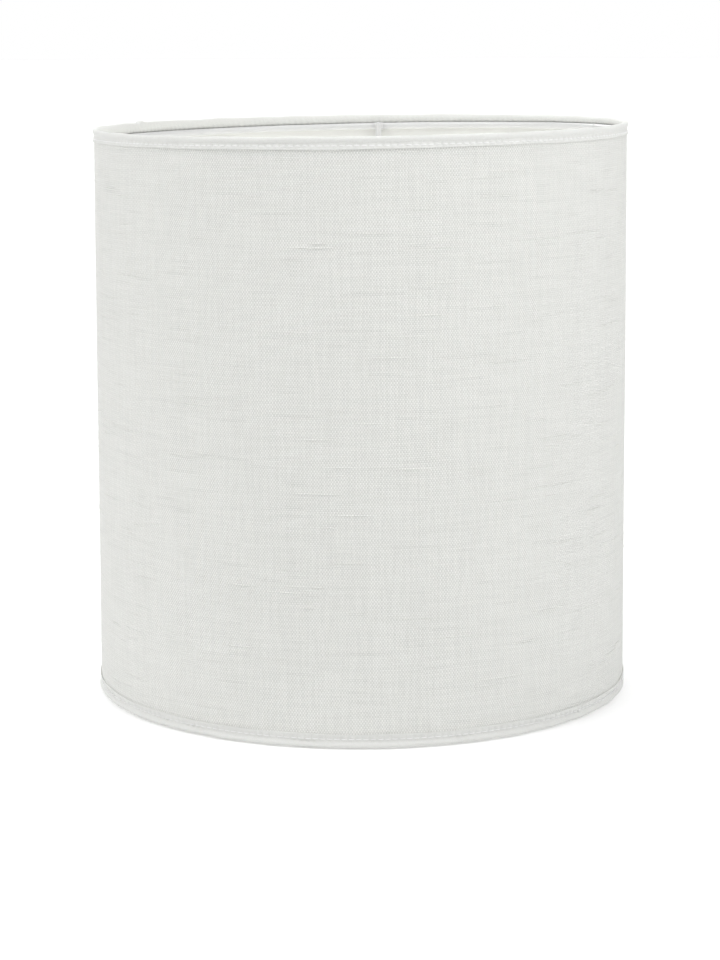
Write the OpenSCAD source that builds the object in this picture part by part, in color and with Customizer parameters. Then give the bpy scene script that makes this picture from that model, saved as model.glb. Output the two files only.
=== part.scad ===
// Drum lamp shade: a linen strip laminated to a stiff backing sheet, rolled into a tube and
// closed by a lap seam. Bias tape is folded over both rims and stitched through. A wire ring
// sits inside each rim, and three wire arms carry a collar for the lampholder.
// Millimetres, +Z up. The origin is the centre of the circle that the shade stands on.

/* [Shade] */
// Outer diameter of the linen
shade_d = 300; // [200:5:450]
// Height over both bindings
shade_h = 320; // [150:2:450]
// Thickness of the linen
linen_t = 0.5; // [0.3:0.1:0.9]
// Thickness of the backing sheet
backing_t = 0.4; // [0.2:0.1:0.8]

/* [Lap seam] */
// Direction of the seam, seen from above
seam_az = 147; // [0:1:359]
// Width of the lap
lap_w = 12; // [6:1:25]
// Thickness of the double-sided tape in the lap
seam_tape_t = 0.1; // [0.1:0.05:0.3]
// Play between the step in the strip and the end that it covers
lap_gap = 0.3; // [0.1:0.1:1]

/* [Binding] */
// Height of the soft roll over the rim
roll_h = 4.4; // [3.6:0.1:6]
// How far the roll stands out past the linen
roll_out = 0.7; // [0.5:0.1:1.5]
// How far the roll stands in past the backing sheet
roll_in = 1.5; // [0.8:0.1:2.5]
// Rounding of the roll
roll_r = 1.1; // [0.6:0.1:1.2]
// How deep the panel's edge lies inside the roll
rim_pad = 1.6; // [1:0.1:2.5]
// Distance from the roll's underside to the stitch line
stitch_gap = 0.4; // [0.3:0.1:1]
// Thickness of the folded tape outside, below the roll
hem_t = 0.5; // [0.4:0.1:1]
// How far the outer hem reaches past the stitch line
hem_below = 2.8; // [1.5:0.1:6]
// Thickness of the tape inside, below the roll
inner_hem_t = 0.5; // [0.4:0.1:1]
// How far the inner hem reaches past the stitch line
inner_hem_below = 1.8; // [1:0.1:4]
// Thickness of the sewing thread
thread_d = 0.3; // [0.2:0.02:0.4]

/* [Wire frame] */
// Thickness of the ring wire
ring_wire_d = 3.8; // [2.5:0.1:5]
// Distance from the stitch line to the ring
ring_gap = 0.3; // [0.2:0.1:2]
// Thickness of the arm wire
arm_wire_d = 3.6; // [2.5:0.1:5]
// How far each arm's upper end stands above the ring
arm_over = 0.7; // [0:0.1:2]
// Direction of the back arm, seen from above
arm_az = 85.5; // [60:0.5:110]
// Depth that the arms are welded into what they meet
weld_sink = 0.35; // [0.2:0.05:0.6]
// Radius of each arm's bend, at the middle of the wire
arm_bend_r = 8; // [5:0.5:12]
// Height of the raised band at each ring's butt weld
butt_flash = 0.3; // [0.1:0.1:0.5]
// Width of that band
butt_w = 1.6; // [1:0.1:4]
// Direction of the butt welds, seen from above
butt_az = 20; // [0:1:45]

/* [Lampholder collar] */
// Bore of the collar, for a standard medium-screw lampholder
bore_d = 42; // [28:0.5:45]
// Width of the flat rim round the bore
collar_w = 12; // [9:0.5:20]
// Thickness of the collar's sheet
collar_t = 1.6; // [1:0.1:2.5]
// Length of the bore
bore_l = 4; // [3:0.5:10]
// Distance from the rim down to the collar's top face
collar_drop = 30; // [25:1:60]
// How far each arm lies over the collar
arm_lap = 3; // [2:0.5:4]

/* [Hidden] */
$fn = 96;

// Colours
linen_white = [0.90, 0.90, 0.87];
sheet_white = [0.95, 0.95, 0.93];
tape_white = [0.93, 0.93, 0.92];
thread_white = [0.97, 0.97, 0.96];
coat_white = [0.98, 0.98, 0.98];
glue_clear = [0.85, 0.87, 0.80];

// The panel's faces, from outside to inside
linen_r = shade_d / 2;
backing_r = linen_r - linen_t;
inner_r = backing_r - backing_t;

// The lap: how far the covering end stands out, and where the covered end begins
lap_step = seam_tape_t + backing_t + linen_t;
lap_begin = linen_t + backing_t + lap_gap;

// The arc in which the binding stands further out, over the lap
over_lap_from = seam_az - arc(hem_t);
over_lap_to = seam_az + arc(lap_w + hem_t);
over_lap = over_lap_to - over_lap_from;

// Places on the upper rim, as distances down from it
stitch_drop = roll_h + stitch_gap;
ring_drop = stitch_drop + ring_gap;
ring_mid_drop = ring_drop + ring_wire_d / 2;

// The rings press on the inner hems
ring_r = inner_r - inner_hem_t - ring_wire_d / 2;

// The arms stand against the inside of the top ring and lie on the collar
leg_r = ring_r - ring_wire_d / 2 - arm_wire_d / 2 + weld_sink;
leg_top_z = shade_h - ring_drop + arm_over;
collar_r = bore_d / 2 + collar_w;
collar_z = shade_h - collar_drop;
arm_z = collar_z + arm_wire_d / 2 - weld_sink;
arm_end_r = collar_r - arm_lap;
arm_step = 120;

// Weld beads, in proportion to the wire that they hold
ring_bead_r = arm_wire_d * 0.62;
ring_bead_w = arm_wire_d * 1.5;
end_bead_r = arm_wire_d * 0.6;
side_bead_r = arm_wire_d * 0.32;

// How far out from the wire's middle the band of a butt weld is ground away
ground_x = ring_wire_d * 0.4;

// How far a cutting tool runs past what it cuts
over = 1;

// The angle of an arc of this length at the linen
function arc(length) = length / linen_r * 180 / PI;

// Turns a profile in the radius and height plane through part of a circle
module turned(start = 0, angle = 360) {
    rotate_extrude(start = start, angle = angle, $fn = max($fn, 180)) children();
}

// A rectangle in the radius and height plane
module strip(r0, r1, z0, z1) {
    translate([r0, z0]) square([r1 - r0, z1 - z0]);
}

// What belongs to the upper rim is drawn with the rim at height 0. The lower rim mirrors it.
module at_rim(top) {
    if (top) translate([0, 0, shade_h]) children();
    else mirror([0, 0, 1]) children();
}

// One layer of the rolled strip, between two radii. It begins under the lap, runs once round
// the drum, steps out after a length of arc step_at, and covers its own beginning.
module layer(r0, r1, step_at) {
    z0 = rim_pad;
    z1 = shade_h - rim_pad;
    thick = r1 - r0;
    join = step_at + thick / 2;
    turned(seam_az + arc(lap_begin), 360 - arc(lap_begin - join)) strip(r0, r1, z0, z1);
    turned(seam_az + arc(step_at), arc(thick)) strip(r0, r1 + lap_step, z0, z1);
    turned(seam_az + arc(join), arc(lap_w - join)) strip(r0 + lap_step, r1 + lap_step, z0, z1);
}

module linen_cover() {
    color(linen_white) layer(backing_r, linen_r, 0);
}

module backing_sheet() {
    color(sheet_white) layer(inner_r, backing_r, linen_t);
}

module seam_tape() {
    color(glue_clear) turned(seam_az + arc(lap_begin), arc(lap_w - lap_begin))
        strip(linen_r, linen_r + seam_tape_t, rim_pad, shade_h - rim_pad);
}

// The folded tape's outline round a panel whose outer face is at panel_r
module tape_outline(panel_r) {
    in_r = inner_r - roll_in;
    out_r = panel_r + roll_out;
    strip(in_r + roll_r, out_r - roll_r, -roll_h, 0);
    strip(in_r, out_r, roll_r - roll_h, -roll_r);
    for (r = [in_r + roll_r, out_r - roll_r], z = [-roll_r, roll_r - roll_h])
        translate([r, z]) circle(r = roll_r);
    strip(inner_r, panel_r + hem_t, -stitch_drop - hem_below, -roll_h / 2);
    strip(inner_r - inner_hem_t, inner_r, -stitch_drop - inner_hem_below, -roll_h / 2);
}

// The room that the panel takes inside the tape
module panel_slot(panel_r) {
    strip(inner_r, panel_r, -stitch_drop - hem_below - over, -rim_pad);
}

// The binding stands further out over the lap and for the thickness of the tape on each side.
// The threads are sunk half into it.
module binding(top) {
    color(tape_white) at_rim(top) difference() {
        union() {
            turned() tape_outline(linen_r);
            turned(over_lap_from, over_lap) tape_outline(linen_r + lap_step);
        }
        turned() panel_slot(linen_r);
        turned(seam_az, arc(lap_w)) panel_slot(linen_r + lap_step);
        turned(over_lap_to, 360 - over_lap) thread_at(linen_r + hem_t);
        turned(over_lap_from, over_lap) thread_at(linen_r + lap_step + hem_t);
        turned() thread_at(inner_r - inner_hem_t);
    }
}

// A thread's cross-section on the stitch line
module thread_at(r) {
    translate([r, -stitch_drop]) circle(d = thread_d, $fn = 32);
}

// The upper thread lies on the outer hem. Where the hem steps out over the lap, it goes in and
// comes out again further out, as between any two stitches.
module needle_thread(top) {
    color(thread_white) at_rim(top) {
        turned(over_lap_to, 360 - over_lap) thread_at(linen_r + hem_t);
        turned(over_lap_from, over_lap) thread_at(linen_r + lap_step + hem_t);
    }
}

// The under thread lies on the inner hem
module bobbin_thread(top) {
    color(thread_white) at_rim(top) turned() thread_at(inner_r - inner_hem_t);
}

module ring(top) {
    color(coat_white) at_rim(top) turned()
        translate([ring_r, -ring_mid_drop]) circle(d = ring_wire_d);
}

// The raised band round a ring's butt weld, ground away where the ring meets the hem
module ring_weld(top) {
    color(coat_white) at_rim(top) turned(butt_az, arc(butt_w))
        translate([ring_r, -ring_mid_drop]) difference() {
            circle(d = ring_wire_d + 2 * butt_flash);
            circle(d = ring_wire_d);
            translate([ground_x, -ring_wire_d]) square(2 * ring_wire_d);
        }
}

// One arm's wire, along +X: an upright leg at the ring, a bend, and a level run to the collar
module arm_wire() {
    bend_z = arm_z + arm_bend_r;
    dome_z = leg_top_z - arm_wire_d / 2;
    translate([leg_r, 0, dome_z]) sphere(d = arm_wire_d);
    translate([leg_r, 0, bend_z]) cylinder(d = arm_wire_d, h = dome_z - bend_z);
    translate([leg_r - arm_bend_r, 0, bend_z]) rotate([90, 0, 0])
        rotate_extrude(start = 270, angle = 90)
            translate([arm_bend_r, 0]) circle(d = arm_wire_d);
    translate([arm_end_r, 0, arm_z]) rotate([0, 90, 0])
        cylinder(d = arm_wire_d, h = leg_r - arm_bend_r - arm_end_r);
    translate([arm_end_r, 0, arm_z]) sphere(d = arm_wire_d);
}

module arm(number) {
    color(coat_white) difference() {
        rotate([0, 0, arm_az + number * arm_step]) arm_wire();
        ring(true);
        fitter_ring();
    }
}

module arm_back() { arm(0); }
module arm_left() { arm(1); }
module arm_right() { arm(2); }

// A flat rim with a short drawn neck
module fitter_ring() {
    color(coat_white) turned() {
        strip(bore_d / 2, collar_r - collar_t / 2, collar_z - collar_t, collar_z);
        translate([collar_r - collar_t / 2, collar_z - collar_t / 2]) circle(d = collar_t);
        strip(bore_d / 2, bore_d / 2 + collar_t, collar_z - bore_l, collar_z);
    }
}

// A bead on the inside of the ring, to both sides of each arm's leg
module arm_ring_welds() {
    color(coat_white) for (number = [0:2]) difference() {
        at_rim(true) turned(arm_az + number * arm_step - arc(ring_bead_w) / 2, arc(ring_bead_w))
            translate([ring_r, -ring_mid_drop]) difference() {
                translate([-ring_wire_d / 2, 0]) circle(r = ring_bead_r);
                circle(d = ring_wire_d);
            }
        rotate([0, 0, arm_az + number * arm_step]) arm_wire();
    }
}

// A bead round each arm's end and along both its sides, on the collar
module arm_fitter_welds() {
    side = arm_wire_d / 2;
    color(coat_white) for (number = [0:2]) rotate([0, 0, arm_az + number * arm_step])
        difference() {
            translate([arm_end_r, 0, collar_z]) {
                sphere(r = end_bead_r);
                for (y = [-side, side]) translate([0, y, 0]) rotate([0, 90, 0])
                    cylinder(r = side_bead_r, h = arm_lap - collar_t / 2);
            }
            translate([0, 0, collar_z - 2 * end_bead_r])
                cylinder(r = collar_r + over, h = 2 * end_bead_r);
            arm_wire();
        }
}

module top_binding() { binding(true); }
module bottom_binding() { binding(false); }
module top_needle_thread() { needle_thread(true); }
module bottom_needle_thread() { needle_thread(false); }
module top_bobbin_thread() { bobbin_thread(true); }
module bottom_bobbin_thread() { bobbin_thread(false); }
module top_ring() { ring(true); }
module bottom_ring() { ring(false); }
module top_ring_weld() { ring_weld(true); }
module bottom_ring_weld() { ring_weld(false); }

linen_cover();
backing_sheet();
seam_tape();
top_binding();
bottom_binding();
top_needle_thread();
top_bobbin_thread();
bottom_needle_thread();
bottom_bobbin_thread();
top_ring();
bottom_ring();
top_ring_weld();
bottom_ring_weld();
arm_back();
arm_left();
arm_right();
fitter_ring();
arm_ring_welds();
arm_fitter_welds();
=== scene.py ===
import math

import bpy
import numpy as np
from mathutils import Matrix, Vector


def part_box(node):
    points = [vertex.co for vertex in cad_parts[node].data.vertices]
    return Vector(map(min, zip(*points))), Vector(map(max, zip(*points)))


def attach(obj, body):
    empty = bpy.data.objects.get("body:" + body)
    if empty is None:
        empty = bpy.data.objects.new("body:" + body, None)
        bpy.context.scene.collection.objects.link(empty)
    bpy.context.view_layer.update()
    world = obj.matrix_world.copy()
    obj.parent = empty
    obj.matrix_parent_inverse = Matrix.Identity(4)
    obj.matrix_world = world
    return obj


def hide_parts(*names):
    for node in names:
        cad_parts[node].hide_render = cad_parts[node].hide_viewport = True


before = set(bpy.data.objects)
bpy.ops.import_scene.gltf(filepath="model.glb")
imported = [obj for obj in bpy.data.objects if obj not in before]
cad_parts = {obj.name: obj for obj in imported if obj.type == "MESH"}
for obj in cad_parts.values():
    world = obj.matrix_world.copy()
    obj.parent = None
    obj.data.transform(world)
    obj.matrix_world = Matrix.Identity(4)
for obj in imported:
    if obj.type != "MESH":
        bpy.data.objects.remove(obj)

# A drum lamp shade: linen laminated to a stiff film, taped rims with lock stitches, and a
# white coated wire frame. Metres, +Z up. Directions are angles round the axis, from +X.

MM = 0.001
TURN = 2 * math.pi
SEED = 42
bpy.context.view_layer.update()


# ---- Sizes read from the frame ----

def reach(node):
    """How far from the axis a node's box reaches."""
    low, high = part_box(node)
    return max(-low.x, -low.y, high.x, high.y)


def middle_z(node):
    low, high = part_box(node)
    return (low.z + high.z) / 2


SHADE_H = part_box("top_binding")[1].z
LINEN_R = reach("linen_cover")
BACKING_R = reach("backing_sheet")
INNER_HEM_R = reach("top_ring")
RING_R = INNER_HEM_R - (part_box("top_ring")[1].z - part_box("top_ring")[0].z) / 2
RING_DROP = SHADE_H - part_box("top_ring")[1].z
PANEL_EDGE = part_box("linen_cover")[0].z
HEM_DROP = SHADE_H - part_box("top_binding")[0].z
STITCH_DROP = SHADE_H - middle_z("top_needle_thread")
seam_low, seam_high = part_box("seam_tape")
LAP_FROM = math.atan2(seam_high.y, seam_high.x) % TURN
LAP_TO = math.atan2(seam_low.y, seam_low.x) % TURN

# ---- Sizes of the cloth work, which the frame doesn't hold ----

# The film's inner face, on which the inner hems lie.
INNER_R = BACKING_R - 0.4 * MM
# How far the covering end of the strip stands out.
LAP_STEP = 1.0 * MM
# The needle holes' spacing and the thread's radius.
STITCH = 3.8 * MM
THREAD_R = 0.22 * MM
# The length of one turn of the thread's plies.
TWIST = 0.5 * MM
# The spacing of the linen's weft and warp threads, and of the tape's finer threads.
WEFT = 1.09 * MM
WARP = 0.74 * MM
TAPE_THREAD = 0.36 * MM
# How much the upper rim, and the wire frame in it, lean down to the left.
TILT = math.tan(math.radians(0.6))
LEAN = math.tan(math.radians(1.1))
# The strength of the sky's light on the object.
FILL = 0.06


# ---- Meshes ----

def mesh_piece(name, points, faces, uvs, material):
    """A smooth mesh that rides on the body, with one UV pair for each face corner."""
    mesh = bpy.data.meshes.new(name)
    mesh.from_pydata(points.tolist(), [], faces.tolist())
    layer = mesh.uv_layers.new(name="cloth")
    layer.data.foreach_set("uv", uvs.astype(np.float32).ravel())
    mesh.polygons.foreach_set("use_smooth", [True] * len(mesh.polygons))
    mesh.materials.append(material)
    piece = bpy.data.objects.new(name, mesh)
    bpy.context.scene.collection.objects.link(piece)
    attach(piece, "root")
    return piece


class Patches:
    """Collects grids of points, each with its UVs, and gives their vertices and quads."""

    def __init__(self):
        self.points = []
        self.faces = []
        self.uvs = []
        self.count = 0

    def add(self, grid, uv, loop_u=False, loop_v=False):
        """grid is (nu, nv, 3). uv is one column or row longer where the grid is a loop."""
        nu, nv = grid.shape[:2]
        index = self.count + np.arange(nu * nv).reshape(nu, nv)
        if loop_u:
            index = np.vstack([index, index[:1]])
        if loop_v:
            index = np.hstack([index, index[:, :1]])
        corners = [(slice(None, -1), slice(None, -1)), (slice(1, None), slice(None, -1)),
                   (slice(1, None), slice(1, None)), (slice(None, -1), slice(1, None))]
        self.faces.append(np.stack([index[c] for c in corners], -1).reshape(-1, 4))
        self.uvs.append(np.stack([uv[c] for c in corners], -2).reshape(-1, 2))
        self.points.append(grid.reshape(-1, 3))
        self.count += nu * nv

    def piece(self, name, material, slot):
        points = np.vstack(self.points)
        return mesh_piece(name, points, np.vstack(self.faces), np.vstack(self.uvs), material)


def around(angle, r, z):
    """Points at these directions, radii and heights."""
    angle, r, z = np.broadcast_arrays(angle, r, z)
    return np.stack([r * np.cos(angle), r * np.sin(angle), z], -1)


def wander(angle, low, high, seed):
    """A smooth random wave round the axis, of about unit size, with low to high swings a turn."""
    draw = np.random.default_rng(seed)
    swings = draw.integers(low, high + 1, 9)
    phases = draw.uniform(0, TURN, 9)
    sizes = draw.uniform(0.5, 1, 9)
    total = sum(a * np.sin(k * angle + p) for k, p, a in zip(swings, phases, sizes))
    return total / np.sqrt((sizes ** 2).sum() / 2)


def smooth(x):
    x = np.clip(x, 0, 1)
    return x * x * (3 - 2 * x)


def hump(x, width):
    return np.exp(-(x / width) ** 2)


# ---- Materials ----

class Nodes:
    """Builds one material's nodes, with short calls for what the weaves need."""

    def __init__(self, name):
        self.material = bpy.data.materials.new(name)
        self.material.use_nodes = True
        self.tree = self.material.node_tree
        self.shader = self.tree.nodes["Principled BSDF"]

    def add(self, kind, inputs=None, **settings):
        node = self.tree.nodes.new(kind)
        for key, value in settings.items():
            setattr(node, key, value)
        for key, value in (inputs or {}).items():
            self.put(node.inputs[key], value)
        return node

    def put(self, socket, value):
        if isinstance(value, bpy.types.NodeSocket):
            self.tree.links.new(value, socket)
        else:
            socket.default_value = value

    def math(self, operation, a, b=0.0, c=0.0, clamp=False):
        node = self.add("ShaderNodeMath", {0: a, 1: b, 2: c}, operation=operation, use_clamp=clamp)
        return node.outputs[0]

    def range(self, value, low, high, to_low=0.0, to_high=1.0):
        settings = {"Value": value, "From Min": low, "From Max": high,
                    "To Min": to_low, "To Max": to_high}
        node = self.add("ShaderNodeMapRange", settings, interpolation_type="SMOOTHSTEP")
        return node.outputs["Result"]

    def split(self, vector):
        node = self.add("ShaderNodeSeparateXYZ", {0: vector})
        return node.outputs[0], node.outputs[1]

    def join(self, x, y, z=0.0):
        return self.add("ShaderNodeCombineXYZ", {0: x, 1: y, 2: z}).outputs[0]

    def noise(self, vector, scale=1.0, detail=0.0, dimensions="2D"):
        node = self.add("ShaderNodeTexNoise", {"Vector": vector, "Scale": scale, "Detail": detail},
                        noise_dimensions=dimensions)
        return node.outputs["Fac"]

    def times(self, a, b):
        return self.math("MULTIPLY", a, b)

    def plus(self, a, b):
        return self.math("ADD", a, b)

    def cloth(self):
        uv = self.add("ShaderNodeUVMap", uv_map="cloth")
        return self.split(uv.outputs[0])

    def tint(self, dark, light, amount):
        node = self.add("ShaderNodeMix", {"Factor": amount}, data_type="RGBA")
        node.inputs["A"].default_value = (*dark, 1)
        node.inputs["B"].default_value = (*light, 1)
        return node.outputs["Result"]

    def bump(self, height, distance, strength=1.0):
        settings = {"Height": height, "Distance": distance, "Strength": strength}
        return self.add("ShaderNodeBump", settings).outputs[0]

    def finish(self, color, normal, roughness, sheen=0.0, specular=0.5):
        self.put(self.shader.inputs["Base Color"], color)
        self.put(self.shader.inputs["Normal"], normal)
        self.put(self.shader.inputs["Roughness"], roughness)
        self.shader.inputs["Sheen Weight"].default_value = sheen
        self.shader.inputs["Sheen Roughness"].default_value = 0.5
        self.shader.inputs["Specular IOR Level"].default_value = specular
        return self.material


class Weave:
    """A plain weave's height and crossings, and how thick each weft and warp thread runs.

    The factors on along and up are noise swings a thread. Those on row and column are uneven
    numbers that give each thread a noise of its own.
    """

    def __init__(self, nodes, u, v, pitch_u, pitch_v, uneven):
        times = nodes.times
        plus = nodes.plus
        along = times(u, 1 / pitch_u)
        up = times(v, 1 / pitch_v)
        bend = nodes.noise(nodes.join(times(along, 0.013), times(up, 0.04)))
        sway = nodes.noise(nodes.join(times(along, 0.04), times(up, 0.013)), 1.0)
        up = plus(up, times(bend, uneven))
        along = plus(along, times(sway, uneven))
        row = nodes.math("FLOOR", up)
        column = nodes.math("FLOOR", along)
        self.weft = nodes.noise(nodes.join(times(along, 0.025), times(row, 5.37)))
        self.warp = nodes.noise(nodes.join(times(column, 7.13), times(up, 0.05)))
        # Where painted slub shadows fall along single weft rows.
        self.shadow_streak = nodes.noise(nodes.join(times(along, 0.022), times(row, 3.71)))
        rib = nodes.math("SINE", times(along, math.pi))
        wale = nodes.math("SINE", times(up, math.pi))
        self.crossing = times(rib, wale)
        self.gap = nodes.math("SUBTRACT", 1.0, nodes.math("ABSOLUTE", wale))
        self.fuzz = nodes.noise(nodes.join(times(along, 0.9), times(up, 1.3)))
        over = times(self.crossing, 0.45)
        upright = plus(times(nodes.math("ABSOLUTE", rib), 0.55), over)
        level = nodes.math("SUBTRACT", times(nodes.math("ABSOLUTE", wale), 0.55), over)
        upright = times(upright, nodes.range(self.warp, 0.3, 0.7, 0.85, 1.05))
        level = times(level, nodes.range(self.weft, 0.3, 0.7, 0.92, 1.06))
        self.height = nodes.math("MAXIMUM", upright, level)


def linen_material():
    nodes = Nodes("linen")
    u, v = nodes.cloth()
    weave = Weave(nodes, u, v, WARP, WEFT, 1.6)
    # Painted shade: the weave's low spots and the gaps between its threads are darkened and its
    # crowns lightened, by height.
    tone = nodes.range(weave.height, 0.1, 0.75, 0.38, 0.56)
    # Painted light: crossings where the weft lies over are lightened and those where the warp lies
    # over are darkened, for how the crowns catch the light.
    tone = nodes.plus(tone, nodes.times(weave.crossing, 0.32))
    tone = nodes.plus(tone, nodes.range(weave.weft, 0.3, 0.7, -0.03, 0.03))
    tone = nodes.plus(tone, nodes.range(weave.warp, 0.3, 0.7, -0.035, 0.035))
    tone = nodes.plus(tone, nodes.range(weave.fuzz, 0.25, 0.75, -0.08, 0.08))
    # Painted shadow: rare dark lines along single weft rows, in the gaps between threads, stand in
    # for the shadows of faint slubs.
    painted_slub_shadow = nodes.range(weave.shadow_streak, 0.73, 0.84, 0.0, -0.28)
    tone = nodes.math("ADD", tone, nodes.times(painted_slub_shadow, weave.gap), clamp=True)
    color = nodes.tint((0.61, 0.617, 0.59), (0.945, 0.949, 0.92), tone)
    normal = nodes.bump(weave.height, 0.25 * MM, 0.8)
    return nodes.finish(color, normal, 0.85, 0.15, 0.25)


def tape_material():
    nodes = Nodes("bias_tape")
    u, v = nodes.cloth()
    slant_u = nodes.times(nodes.plus(u, v), math.sqrt(0.5))
    slant_v = nodes.times(nodes.math("SUBTRACT", u, v), math.sqrt(0.5))
    weave = Weave(nodes, slant_u, slant_v, TAPE_THREAD, TAPE_THREAD, 0.7)
    # Painted shade: the tape's weave is darker in its low spots and lighter on its crowns, by
    # height.
    tone = nodes.range(weave.height, 0.1, 0.7)
    color = nodes.tint((0.69, 0.695, 0.675), (0.81, 0.815, 0.79), tone)
    return nodes.finish(color, nodes.bump(weave.height, 0.08 * MM, 0.7), 0.9, 0.2, 0.2)


def thread_material():
    nodes = Nodes("sewing_thread")
    u, v = nodes.cloth()
    twist = nodes.math("SINE", nodes.times(nodes.plus(u, v), TURN / TWIST))
    # Painted shade: the thread is darker in the grooves between its plies and lighter on their
    # crowns.
    color = nodes.tint((0.88, 0.88, 0.88), (0.96, 0.96, 0.96), nodes.range(twist, -1, 1))
    return nodes.finish(color, nodes.bump(twist, 0.03 * MM, 0.6), 0.5, 0.1, 0.4)


def film_material():
    nodes = Nodes("backing_film")
    u, v = nodes.cloth()
    print_through = nodes.noise(nodes.join(u, v), 900.0, 1.0)
    haze = nodes.noise(nodes.join(u, v), 22.0, 2.0)
    color = nodes.tint((0.87, 0.872, 0.845), (0.91, 0.912, 0.885), haze)
    rough = nodes.range(haze, 0.3, 0.7, 0.36, 0.46)
    normal = nodes.bump(print_through, 0.05 * MM, 0.5)
    return nodes.finish(color, normal, rough, 0.0, 0.4)


def coat_material():
    nodes = Nodes("powder_coat")
    place = nodes.add("ShaderNodeTexCoord").outputs["Object"]
    peel = nodes.noise(place, 1600.0, 1.0, "3D")
    cloud = nodes.noise(place, 60.0, 2.0, "3D")
    color = nodes.tint((0.66, 0.66, 0.66), (0.72, 0.72, 0.72), cloud)
    rough = nodes.range(cloud, 0.3, 0.7, 0.28, 0.40)
    return nodes.finish(color, nodes.bump(peel, 0.04 * MM, 0.5), rough, 0.0, 0.5)


def glue_material():
    nodes = Nodes("seam_adhesive")
    place = nodes.add("ShaderNodeTexCoord").outputs["Object"]
    bubbles = nodes.noise(place, 900.0, 2.0, "3D")
    color = nodes.tint((0.66, 0.68, 0.58), (0.78, 0.79, 0.70), bubbles)
    return nodes.finish(color, nodes.bump(bubbles, 0.03 * MM, 0.4), 0.25, 0.0, 0.5)


def floor_material():
    nodes = Nodes("floor")
    place = nodes.add("ShaderNodeTexCoord").outputs["Object"]
    cloud = nodes.noise(place, 2.0, 1.0, "3D")
    color = nodes.tint((0.69, 0.69, 0.69), (0.71, 0.71, 0.71), cloud)
    nodes.shader.inputs["Emission Color"].default_value = (1, 1, 1, 1)
    nodes.shader.inputs["Emission Strength"].default_value = 0.27
    return nodes.finish(color, nodes.bump(cloud, 0.1 * MM, 0.1), 0.8, 0.0, 0.1)


LINEN = linen_material()
TAPE = tape_material()
THREAD = thread_material()
FILM = film_material()
COAT = coat_material()
GLUE = glue_material()


# ---- The laminated strip ----

LAP_RISE = 2.4 * MM
PANEL_WAVE = 0.12 * MM
TOP_ROOM = 0.6 * MM
TURN_STEPS = 300
LAP_STEPS = 36
HEIGHT_STEPS = 40

SLUBS = 380
SLUB_OUT = 0.34 * MM
SLUB_UP = 0.50 * MM
SLUB_LONGEST = 60 * MM
SLUB_STEPS = 12
SLUB_SIDES = 6
# What the slubs keep clear of the lap, the lower tape and the upper tape.
LAP_ROOM = 16 * MM
FOOT_ROOM = 12 * MM
HEAD_ROOM = 14 * MM


def lap_out(angle):
    """How far the strip stands out at this direction, counted on past a full turn."""
    rise = LAP_RISE / LINEN_R
    return LAP_STEP * smooth((angle - (LAP_FROM + TURN - rise)) / rise)


def panel_wave(angle, z):
    """The slight unevenness of the rolled panel, none at its rims or in its lap."""
    rims = np.sin(np.clip(z / SHADE_H, 0, 1) * math.pi) ** 0.5
    lap = 1 - hump((angle % TURN - (LAP_FROM + LAP_TO) / 2), 0.12)
    waves = wander(angle, 2, 6, 5) + 0.6 * np.sin(z / SHADE_H * 5 + 1) * wander(angle, 3, 9, 6)
    return PANEL_WAVE * rims * lap * waves


def rim_lean(angle):
    """How far the leaning upper rim stands above or below its level place."""
    return TILT * LINEN_R * np.cos(angle)


def panel_top(angle):
    """The height of the panel's upper edge, which leans with the rim."""
    return SHADE_H - PANEL_EDGE - TOP_ROOM + rim_lean(angle)


def strip_angles():
    """Directions from the covered end to the covering end, closer together at the lap."""
    dense = 12 * MM / LINEN_R
    lap = np.linspace(LAP_FROM + TURN - dense, LAP_TO + TURN, LAP_STEPS)
    return np.concatenate([np.linspace(LAP_FROM, lap[0], TURN_STEPS)[:-1], lap])


def rolled_strip(patches, inner, outer):
    """The closed strip between two radii, from the lower rim up to panel_top."""
    angle = strip_angles()[:, None]
    share = np.linspace(0, 1, HEIGHT_STEPS + 1)[None, :]
    z = PANEL_EDGE + (panel_top(angle) - PANEL_EDGE) * share
    shift = lap_out(angle) + panel_wave(angle, z)
    along = (angle - LAP_FROM) * outer
    uv = np.stack(np.broadcast_arrays(along, z), -1)
    outside = around(angle, outer + shift, z)
    inside = around(angle, inner + shift, z)
    patches.add(outside, uv)
    patches.add(inside[::-1], uv[::-1])
    for side in (0, -1):
        ends = [outside[side], inside[side]]
        rims = [inside[:, side], outside[:, side]]
        if side:
            ends.reverse()
            rims.reverse()
        patches.add(np.stack(ends), np.stack([uv[side], uv[side]]))
        patches.add(np.stack(rims, 1), np.stack([uv[:, side], uv[:, side]], 1))


def slub(patches, angle, z, length, fat):
    """A thick stretch of one weft thread: a spindle half sunk in the linen."""
    t = np.linspace(0, 1, SLUB_STEPS + 1)[:, None]
    turn_uv = np.linspace(0, TURN, SLUB_SIDES + 1)[None, :]
    turn = turn_uv[:, :-1]
    swell = np.sin(t * math.pi) ** 0.7 * fat
    a = angle + (t - 0.5) * length / LINEN_R
    lift = swell * SLUB_OUT * np.cos(turn)
    grid = around(a, LINEN_R + panel_wave(a, z) + lift, z + swell * SLUB_UP * np.sin(turn))
    u = (a - LAP_FROM) % TURN * LINEN_R
    uv = np.stack(np.broadcast_arrays(u, z + swell * SLUB_UP * np.sin(turn_uv)), -1)
    patches.add(grid, uv, loop_v=True)


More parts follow.
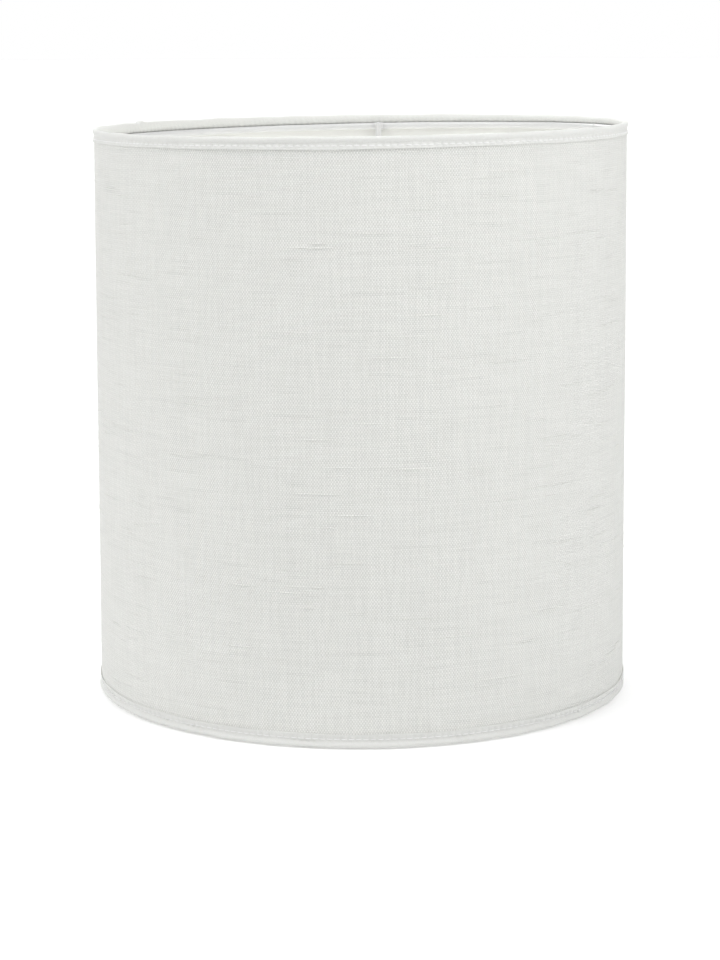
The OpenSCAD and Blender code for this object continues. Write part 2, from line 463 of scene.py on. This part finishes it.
def linen_cover():
    """The linen strip with its slubs, which lie on whole weft threads."""
    patches = Patches()
    rolled_strip(patches, BACKING_R, LINEN_R)
    draw = np.random.default_rng(SEED)
    clear = LAP_ROOM / LINEN_R
    lowest = int(FOOT_ROOM / WEFT)
    highest = int((SHADE_H - HEAD_ROOM) / WEFT)
    for _ in range(SLUBS):
        angle = draw.uniform(LAP_TO + clear, LAP_FROM + TURN - clear)
        row = draw.integers(lowest, highest)
        length = draw.gamma(3.0, 6.0) * MM + 6 * MM
        fat = draw.uniform(0.35, 1.0)
        slub(patches, angle, (row + 0.5) * WEFT, min(length, SLUB_LONGEST), fat)
    piece = patches.piece("linen_cover_cloth", LINEN, "linen")
    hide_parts("linen_cover")


def backing_sheet():
    patches = Patches()
    rolled_strip(patches, INNER_R, BACKING_R)
    piece = patches.piece("backing_film", FILM, "backing_film")
    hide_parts("backing_sheet")


# ---- The bindings ----

STITCHES = round(TURN * LINEN_R / STITCH)
STEPS = 8
# The outer stitches and holes lie this far under the rim. The inner ones lie at STITCH_DROP,
# clear of the ring.
OUTER_STITCH_DROP = STITCH_DROP + 0.8 * MM
# The roll's height on the inside, which is squeezed to fit above the ring.
INNER_ROLL = 5.0 * MM
RING_GAP = 0.06 * MM
# The folded tape's outline from the outer hem's edge over the rim to the inner hem's edge: the
# distance out from the linen, or in from the film as a negative number, and the drop.
OUTER_LEG = [(0.03, 6.9), (0.30, 7.2), (0.54, 7.35), (0.62, 7.0), (0.60, 6.4), (0.54, 5.7),
             (0.40, 5.1), (0.16, 4.5), (0.06, 4.0), (0.10, 3.5), (0.32, 2.9), (0.62, 2.2),
             (0.74, 1.5), (0.60, 0.8), (0.2, 0.28)]
OVER_RIM = [(-0.15, 0.06), (-0.45, 0.0), (-0.7, 0.06)]
INNER_LEG = [(-0.5, 0.2), (-1.2, 0.7), (-1.6, 1.5), (-1.75, 2.5), (-1.75, 3.5), (-1.65, 4.4),
             (-1.3, 4.9), (-0.55, 5.05), (-0.42, 5.4), (-0.5, 6.0), (-0.44, 6.4),
             (-0.3, 6.62), (-0.04, 6.6)]
# The closing points inside the fold.
FOLD_DROP = 2.4 * MM
# A needle hole's dimple: its depth, and its reach along and across the rim.
DIMPLE = 0.46 * MM
DIMPLE_ALONG = 0.8 * MM
DIMPLE_ACROSS = 0.9 * MM
# Puckers between the stitches, and slower waves of the roll and the hems.
ROLL_PUCKER = 0.05 * MM
HEM_PUCKER = 0.04 * MM
ROLL_SWELL = 0.09 * MM
ROLL_WAVE = 0.10 * MM
HEM_WAVE = 0.12 * MM
HEM_LIFT = 0.04 * MM
# The top roll is pressed down at the front, and rises where it passes over the lap's end.
FRONT_DROP = 0.9 * MM
LAP_BUMP = 1.0 * MM


def tape_outline():
    """Radii and drops along the tape, smoothed, with a last pair of points inside the fold."""
    outer = [(LINEN_R + out * MM, drop * MM) for out, drop in OUTER_LEG]
    middle = [(LINEN_R + out * MM, drop * MM) for out, drop in OVER_RIM]
    inner = [(INNER_R + out * MM, drop * MM) for out, drop in INNER_LEG]
    given = np.array(outer + middle + inner)
    where = np.concatenate([[0], np.cumsum(np.hypot(*np.diff(given, axis=0).T))])
    tangent = np.gradient(given, where, axis=0)
    found = []
    for i in range(len(given) - 1):
        span = where[i + 1] - where[i]
        ends = [given[i], span * tangent[i], given[i + 1], span * tangent[i + 1]]
        for t in (0, 0.5):
            hermite = [2 * t ** 3 - 3 * t ** 2 + 1, t ** 3 - 2 * t ** 2 + t,
                       3 * t ** 2 - 2 * t ** 3, t ** 3 - t ** 2]
            found.append(sum(w * end for w, end in zip(hermite, ends)))
    found.append(given[-1])
    return np.array(found + [(INNER_R, FOLD_DROP), (LINEN_R, FOLD_DROP)])


def over_lap(angle):
    """The binding's step over the lap: a slow rise, then a sharp fall past the covering end."""
    a = angle % TURN
    rise = 3.0 * MM / LINEN_R
    fall = 0.8 * MM / LINEN_R
    return smooth((a - LAP_FROM + rise) / rise) * (1 - smooth((a - LAP_TO - 0.2 * fall) / fall))


def hole_distance(angle):
    """How far along the rim the nearest needle hole is."""
    phase = angle / TURN * STITCHES
    return np.abs(phase - np.round(phase)) * STITCH


def ring_top(angle):
    """Height of the top ring's upper side, which leans more than the rim does."""
    return SHADE_H - RING_DROP + LEAN * RING_R * np.cos(angle)


def stitch_radius(angle, outside):
    """The tape's radius on the stitch line, without the needle holes' dimples."""
    if outside:
        return LINEN_R + 0.44 * MM + LAP_STEP * over_lap(angle)
    return INNER_R - 0.42 * MM


def tape_shape(angle, outline, top):
    """The tape's radii and drops all round, with its holes, puckers, waves and lap."""
    seed = 20 if top else 40
    given_r = outline[None, :, 0]
    given_drop = outline[None, :, 1]
    # The last two points close the tape inside its fold and move with nothing but the lap.
    free = np.ones(len(outline))
    free[-2:] = 0
    outer = smooth((given_r - INNER_R + 0.4 * MM) / (LINEN_R - INNER_R + 0.6 * MM))
    side = np.sign(given_r - (LINEN_R + INNER_R) / 2) * free
    holes_drop = np.where(given_r > INNER_R, OUTER_STITCH_DROP, STITCH_DROP)
    valley = hump(given_drop - holes_drop, DIMPLE_ACROSS) * free
    roll = smooth((STITCH_DROP - given_drop) / (2.2 * MM)) * free
    hem = smooth((given_drop - STITCH_DROP) / (HEM_DROP - STITCH_DROP)) * free
    hole = hump(hole_distance(angle), DIMPLE_ALONG)
    sway = 1.2 * wander(angle, 20, 60, seed + 2)
    pucker = np.sin(angle * STITCHES + given_drop / (1.3 * MM) + sway)
    r = given_r + LAP_STEP * over_lap(angle) * outer
    r = r - side * valley * DIMPLE * hole
    r = r + side * (roll * ROLL_PUCKER + hem * HEM_PUCKER) * pucker
    r = r + side * roll * ROLL_SWELL * wander(angle, 12, 50, seed + 3)
    r = r + hem * outer * HEM_LIFT * (1 + 0.8 * wander(angle, 15, 60, seed + 7))
    drop = given_drop + roll * ROLL_WAVE * wander(angle, 10, 40, seed + 4)
    if top:
        drop = drop + roll * FRONT_DROP * smooth(-1.3 * np.sin(angle))
    drop = drop - roll * LAP_BUMP * over_lap(angle) * hump(angle - LAP_TO + 0.012, 0.022)
    drop = drop + hem * outer * HEM_WAVE * wander(angle, 3, 24, seed + 5)
    drop = drop + hem * (1 - outer) * HEM_WAVE * wander(angle, 3, 24, seed + 6)
    return r, drop


def kept_above_ring(angle, outline, z):
    """The heights, with the inner side of the roll squeezed to end just above the ring."""
    rim = SHADE_H + rim_lean(angle)
    lowest = ring_top(angle) + RING_GAP
    out = outline[None, :, 0]
    drop = outline[None, :, 1]
    in_fold = np.arange(len(outline)) >= len(outline) - 2
    over_ring = (out < INNER_HEM_R - 0.1 * MM) & ~in_fold
    squeezed = rim - drop * (rim - lowest) / INNER_ROLL
    z = np.where(over_ring & (drop > 1 * MM), squeezed, z)
    return np.where(over_ring & (z < lowest), lowest, z)


def binding(name, node, top):
    """One rim's folded tape, whose hems hold the panel between them."""
    outline = tape_outline()
    count = STITCHES * STEPS
    angle = (np.arange(count) / count * TURN)[:, None]
    r, drop = tape_shape(angle, outline, top)
    lengths = np.concatenate([[0], np.cumsum(np.hypot(*np.diff(outline, axis=0).T))])
    lengths = np.append(lengths, lengths[-1] + LINEN_R - INNER_R)
    angles = np.append(angle[:, 0], TURN)[:, None]
    uv = np.stack(np.broadcast_arrays(angles * LINEN_R, lengths[None, :]), -1)
    patches = Patches()
    if top:
        z = kept_above_ring(angle, outline, SHADE_H - drop + rim_lean(angle))
        patches.add(around(angle, r, z), uv, loop_u=True, loop_v=True)
    else:
        grid = around(angle, r, drop - drop.min())
        patches.add(grid[::-1], uv[::-1], loop_u=True, loop_v=True)
    piece = patches.piece(name, TAPE, "bias_tape")
    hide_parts(node)


# ---- The lock stitches ----

# How far a stitch's middle stands off the tape, and how deep its ends sink in.
STITCH_ARCH = 0.50 * MM
STITCH_SINK = 0.34 * MM
STITCH_STEPS = 8
STITCH_SIDES = 8


def stitches(name, node, top, outside):
    """Lock stitches: each goes in at a needle hole, lies on the tape and comes to the next."""
    patches = Patches()
    t = np.linspace(0, 1, STITCH_STEPS + 1)[:, None]
    turn_uv = np.linspace(0, TURN, STITCH_SIDES + 1)[None, :]
    turn = turn_uv[:, :-1]
    arch = np.sin(t * math.pi)
    thin = THREAD_R * (0.55 + 0.45 * arch ** 0.4)
    line = OUTER_STITCH_DROP if outside else STITCH_DROP
    sign = 1 if outside else -1
    draw = np.random.default_rng(70 + 2 * top + outside)
    for k in range(STITCHES):
        slack = draw.uniform(-0.04, 0.05) * MM
        slant = draw.normal(0, 0.05) * MM
        angle = (k + 0.1 + 0.8 * t) / STITCHES * TURN
        lift = arch ** 0.6 * STITCH_ARCH - STITCH_SINK + slack * arch
        middle_r = stitch_radius(angle, outside) + sign * lift
        drop = line + slant * (t - 0.5) * 2
        z = SHADE_H - drop + rim_lean(angle) if top else drop
        grid = around(angle, middle_r + thin * np.cos(turn), z + thin * np.sin(turn))
        uv = np.stack(np.broadcast_arrays(angle * LINEN_R, THREAD_R * turn_uv), -1)
        patches.add(grid, uv, loop_v=True)
    piece = patches.piece(name, THREAD, "sewing_thread")
    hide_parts(node)


# ---- The wire frame ----

def leaning(node):
    """A copy of a wire node that leans with the top ring, which sits a little askew."""
    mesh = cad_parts[node].data.copy()
    points = np.empty(3 * len(mesh.vertices))
    mesh.vertices.foreach_get("co", points)
    points = points.reshape(-1, 3)
    points[:, 2] += LEAN * points[:, 0]
    mesh.vertices.foreach_set("co", points.ravel())
    mesh.materials.clear()
    mesh.materials.append(COAT)
    piece = bpy.data.objects.new(node + "_askew", mesh)
    piece.matrix_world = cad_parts[node].matrix_world.copy()
    bpy.context.scene.collection.objects.link(piece)
    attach(piece, "root")
    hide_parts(node)


# ---- Floor, light and camera ----

FLOOR_HALF = 30
SOFTBOX_SIDE = 0.8
SOFTBOX_AWAY = 1
BOUNCE_WIDE = 240 * MM
BOUNCE_Z = 100 * MM
CAMERA_AWAY = 1438.2 * MM
CAMERA_Z = 372.75 * MM
CAMERA_DOWN = math.radians(6.34)
CAMERA_ROLL = math.radians(-0.19)


def floor():
    mesh = bpy.data.meshes.new("floor")
    half = FLOOR_HALF
    corners = [(-half, -half, 0), (half, -half, 0), (half, half, 0), (-half, half, 0)]
    mesh.from_pydata(corners, [], [(0, 1, 2, 3)])
    mesh.materials.append(floor_material())
    piece = bpy.data.objects.new("floor", mesh)
    bpy.context.scene.collection.objects.link(piece)


def sky():
    """A white background for the camera, which gives the object only a faint fill."""
    world = bpy.data.worlds.new("studio")
    world.use_nodes = True
    tree = world.node_tree
    path = tree.nodes.new("ShaderNodeLightPath")
    seen = tree.nodes.new("ShaderNodeMath")
    seen.operation = "MAXIMUM"
    tree.links.new(path.outputs["Is Camera Ray"], seen.inputs[0])
    seen.inputs[1].default_value = FILL
    background = tree.nodes["Background"]
    background.inputs["Color"].default_value = (1, 1, 1, 1)
    tree.links.new(seen.outputs[0], background.inputs["Strength"])
    bpy.context.scene.world = world


def aim(light, name, direction, height, distance):
    """Puts a light at this direction and height, in degrees, facing the middle of the shade."""
    lamp = bpy.data.objects.new(name, light)
    a = math.radians(direction)
    e = math.radians(height)
    away = Vector((math.cos(a) * math.cos(e), math.sin(a) * math.cos(e), math.sin(e)))
    turn = away.to_track_quat("Z", "Y").to_matrix().to_4x4()
    lamp.matrix_world = Matrix.Translation(Vector((0, 0, SHADE_H / 2)) + away * distance) @ turn
    bpy.context.scene.collection.objects.link(lamp)


def far_light(name, direction, height, power, width=50):
    """A light from far off that fills this many degrees of the studio."""
    light = bpy.data.lights.new(name, "SUN")
    light.angle = math.radians(width)
    light.energy = power
    aim(light, name, direction, height, 2)


def softbox(name, direction, height, power):
    light = bpy.data.lights.new(name, "AREA")
    light.shape = "SQUARE"
    light.size = SOFTBOX_SIDE
    light.energy = power
    aim(light, name, direction, height, SOFTBOX_AWAY)


def inside_bounce(power):
    """The light that the pale ground throws up inside the drum."""
    light = bpy.data.lights.new("inside_bounce", "AREA")
    light.shape = "DISK"
    light.size = BOUNCE_WIDE
    light.energy = power
    lamp = bpy.data.objects.new("inside_bounce", light)
    lamp.matrix_world = Matrix.Translation((0, 0, BOUNCE_Z)) @ Matrix.Rotation(math.pi, 4, "X")
    lamp.visible_camera = False
    bpy.context.scene.collection.objects.link(lamp)


def camera():
    data = bpy.data.cameras.new("camera")
    data.lens = 95.14
    data.shift_x = -0.001
    data.shift_y = -0.1753
    data.clip_end = 100
    eye = bpy.data.objects.new("camera", data)
    place = Matrix.Translation((0, -CAMERA_AWAY, CAMERA_Z))
    look = Matrix.Rotation(math.pi / 2 - CAMERA_DOWN, 4, "X")
    eye.matrix_world = place @ look @ Matrix.Rotation(CAMERA_ROLL, 4, "Z")
    bpy.context.scene.collection.objects.link(eye)
    bpy.context.scene.camera = eye


# ---- The shade ----

linen_cover()
backing_sheet()
for end in ("top", "bottom"):
    binding(end + "_binding_tape", end + "_binding", end == "top")
for end in ("top", "bottom"):
    for thread in ("needle", "bobbin"):
        name = end + "_" + thread
        stitches(name + "_stitches", name + "_thread", end == "top", thread == "needle")
for node in ("top_ring", "top_ring_weld", "arm_back", "arm_left", "arm_right"):
    leaning(node)
leaning("fitter_ring")
for node in ("arm_ring_welds", "arm_fitter_welds"):
    leaning(node)
for node in ("bottom_ring", "bottom_ring_weld"):
    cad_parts[node].data.materials[0] = COAT
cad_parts["seam_tape"].data.materials[0] = GLUE

# ---- The studio: each light's direction and height in degrees, then its power ----

floor()
sky()
far_light("left_wall", 187, 45, 1.38)
far_light("left_lamp", 222, 30, 0.35, 10)
far_light("right_wall", 338, 45, 1.2)
far_light("back_wall", 90, 25, 2.1)
far_light("ceiling", 245, 76, 0.8, 25)
softbox("key", 308, 40, 2.2)
inside_bounce(0.25)
camera()
bpy.context.scene.view_settings.view_transform = "Standard"
